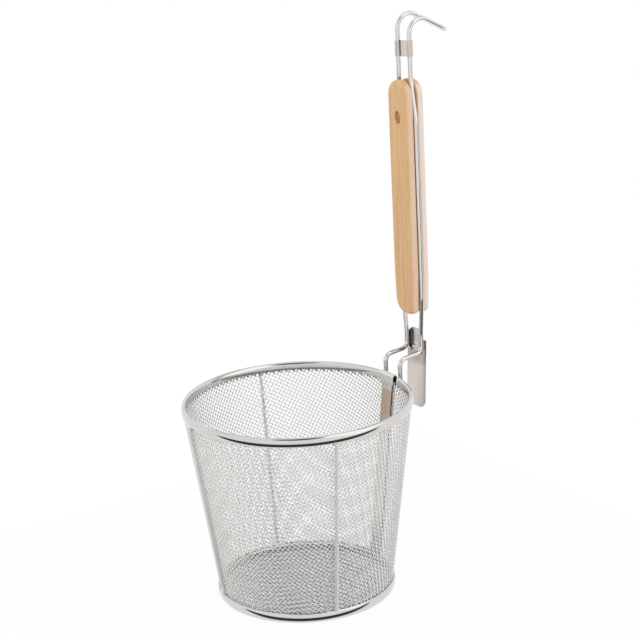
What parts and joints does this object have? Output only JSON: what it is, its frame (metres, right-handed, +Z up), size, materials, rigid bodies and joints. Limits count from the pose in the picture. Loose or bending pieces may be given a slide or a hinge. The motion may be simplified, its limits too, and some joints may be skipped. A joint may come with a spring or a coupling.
{
  "type": "frying strainer",
  "caption": "Tapered wire-mesh frying strainer with a flat mesh floor, an upright split wooden handle on a bent wire, a plate that hangs on a pot's edge and a hanging hook.",
  "frame": {"origin": "under the middle of the whole object's bounding box, on the surface that the base band stands on", "axes": "+Z up along the handle, +X from the basket towards the handle, Y across the handle wires"},
  "size_m": [0.196, 0.145, 0.3497],
  "materials": {
    "stainless_band": "polished folded stainless strip",
    "stainless_mesh": "woven stainless wire",
    "stainless_sheet": "satin stainless sheet",
    "stainless_wire": "drawn and polished stainless wire",
    "beech": "sanded and lightly oiled beech",
    "dark_rivet": "dark brown sunk rivet"
  },
  "bodies": {
    "root": {"rim_band": "stainless_band", "base_band": "stainless_band", "wall_mesh": "stainless_mesh", "floor_mesh": "stainless_mesh", "seam_strap": "stainless_sheet", "handle_wire": "stainless_wire", "pot_hook_plate": "stainless_sheet", "wire_clip": "stainless_sheet", "grip_inner": "beech", "grip_outer": "beech", "grip_rivet": "dark_rivet", "rib_handle": "stainless_wire", "rib_back": "stainless_wire", "rib_left": "stainless_wire", "rib_front": "stainless_wire"}
  },
  "joints": []
}
